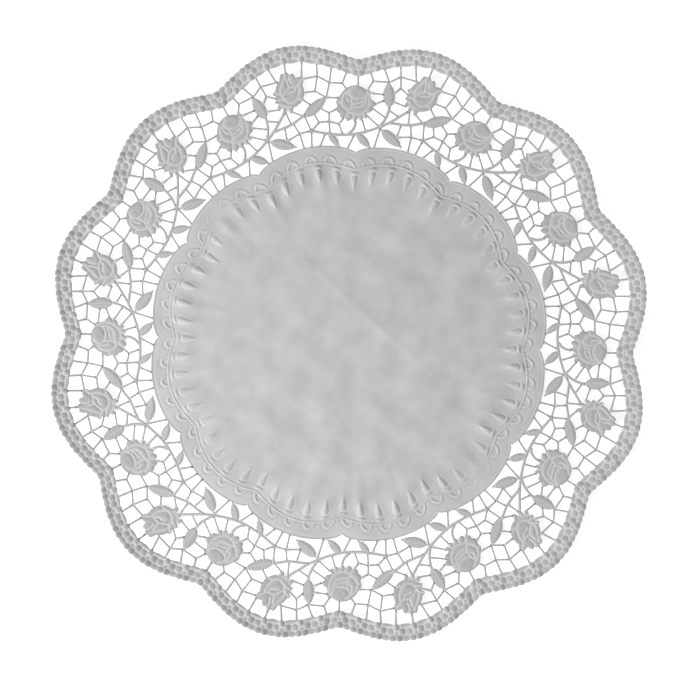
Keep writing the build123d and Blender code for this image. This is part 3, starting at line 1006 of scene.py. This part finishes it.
def clear_of_all(x, y):
    """Distance outside the flowers, leaves and vines, and outside the hem and the border."""
    bearing, radius = np.degrees(np.arctan2(x, y)), np.hypot(x, y)
    rings = np.minimum(radius - hem_outer(bearing), border_inner(bearing) + bead_height - radius)
    return np.minimum(rings, nearest_of([beyond_flowers, beyond_leaves, beyond_vines], x, y))


def thread_end(bearing, share):
    """The place of a thread's end. At a rim, share 0 or 1, the thread runs on a little, under the rim."""
    return place(bearing, share + {0.0: -0.02, 1.0: 0.04}.get(share, 0))


threads = []
for route in thread_routes:
    for start, end in zip(route, route[1:]):
        kept = kept_part(thread_end(*start), thread_end(*end), clear_of_all)
        if kept is not None:
            rows = max(int(np.hypot(*(kept[1] - kept[0])) / 1.4), 3)
            path = kept[0] + (kept[1] - kept[0]) * np.linspace(0, 1, rows + 1)[:, None]
            threads.append(strip(path, thread_width / 2, 0.26))
print(len(threads), "threads in one lobe")
net_ridges = sheet_piece("net_ridges", "net_threads", net_finish, around(gather(threads)))

# %% [markdown]
# ## One sheet
#
# The regions are one sheet of paper that lies on a table. The plain middle has no holes, so its cut size is
# easy to measure: it stands for the sheet, and the other regions go with it. Every piece hangs from the
# same root.

# %% [markdown]
# ## Table, light and camera
#
# The white, seamless table takes the doily's shadow. It also glows for the viewer alone, which makes it
# nearly pure white without more light on the paper. An even sky gives soft light, and one large lamp from
# the lower left lets the relief show.

# %% Table
def seen_directly(nodes, links):
    """1 for rays from the camera, off gloss or through glass, and 0 for the light that falls on things."""
    path = nodes.new("ShaderNodeLightPath")
    total = path.outputs["Is Camera Ray"]
    for kind in ("Is Glossy Ray", "Is Transmission Ray"):
        added = nodes.new("ShaderNodeMath")
        added.use_clamp = True
        links.new(total, added.inputs[0])
        links.new(path.outputs[kind], added.inputs[1])
        total = added.outputs["Value"]
    return total


size, depth, glow_strength = 12.0, 0.0002, 0.62     # the table's half width and depth in metres
mesh = bpy.data.meshes.new("table")
corners = [(-size, -size), (size, -size), (size, size), (-size, size)]
mesh.from_pydata([(x, y, -depth) for x, y in corners], [], [(0, 1, 2, 3)])
table = add_object("table", mesh)
finish = bpy.data.materials.new("white_table")
finish.use_nodes = True
nodes, links = finish.node_tree.nodes, finish.node_tree.links
shader, out = nodes["Principled BSDF"], nodes["Material Output"]
set_inputs(shader, {"Base Color": (0.9, 0.9, 0.9, 1), "Roughness": 0.9, "Specular IOR Level": 0.1})
glow, both = nodes.new("ShaderNodeEmission"), nodes.new("ShaderNodeAddShader")
share = nodes.new("ShaderNodeMath")
share.operation = "MULTIPLY"
share.inputs[1].default_value = glow_strength
links.new(seen_directly(nodes, links), share.inputs[0])
links.new(share.outputs["Value"], glow.inputs["Strength"])
links.new(shader.outputs["BSDF"], both.inputs[0])
links.new(glow.outputs["Emission"], both.inputs[1])
links.new(both.outputs["Shader"], out.inputs["Surface"])
mesh.materials.append(finish)
print("table", table.dimensions[:2])

# %% Sky and lamp
sky_light = 0.46     # the sky's strength on things; the viewer sees it at 1
sky = bpy.data.worlds.new("sky")
sky.use_nodes = True
bpy.context.scene.world = sky
nodes, links = sky.node_tree.nodes, sky.node_tree.links
background, strength = nodes["Background"], nodes.new("ShaderNodeMapRange")
set_inputs(background, {"Color": (1, 1, 1, 1)})
set_inputs(strength, {"To Min": sky_light, "To Max": 1.0})
links.new(seen_directly(nodes, links), strength.inputs["Value"])
links.new(strength.outputs["Result"], background.inputs["Strength"])

lamp = bpy.data.lights.new("soft_lamp", "AREA")
lamp.shape, lamp.size, lamp.energy = "DISK", 0.6, 17.5
lamp_object = add_object("soft_lamp", lamp)
lamp_bearing, lamp_height, lamp_distance = radians(197), radians(34), 1.35
lamp_reach = lamp_distance * cos(lamp_height)
lamp_object.location = (lamp_reach * cos(lamp_bearing), lamp_reach * sin(lamp_bearing),
                        lamp_distance * sin(lamp_height))
lamp_object.rotation_euler = (pi / 2 - lamp_height, 0, lamp_bearing + pi / 2)
print("lamp at", tuple(round(value, 2) for value in lamp_object.location))

# %% [markdown]
# The camera looks straight down through a long lens, as for a catalogue, and is rolled by a few degrees.

# %% Camera
view_width = 0.4179                       # metres across the picture at the table
lens, sensor, roll = 100.0, 36.0, radians(-13.03)
distance = view_width * lens / sensor
shift_right, shift_up = 0.0008, -0.0038   # where the camera stands from the middle, in its own directions
camera_data = bpy.data.cameras.new("camera")
camera_data.lens, camera_data.sensor_width = lens, sensor
camera = add_object("camera", camera_data)
camera.location = (shift_right * cos(roll) - shift_up * sin(roll),
                   shift_right * sin(roll) + shift_up * cos(roll), distance)
camera.rotation_euler = (0, 0, roll)
camera_data.clip_start, camera_data.clip_end = 0.05, 50
bpy.context.scene.camera = camera
bpy.context.scene.view_settings.view_transform = "Standard"
print("camera", round(distance, 3), "m above the table")
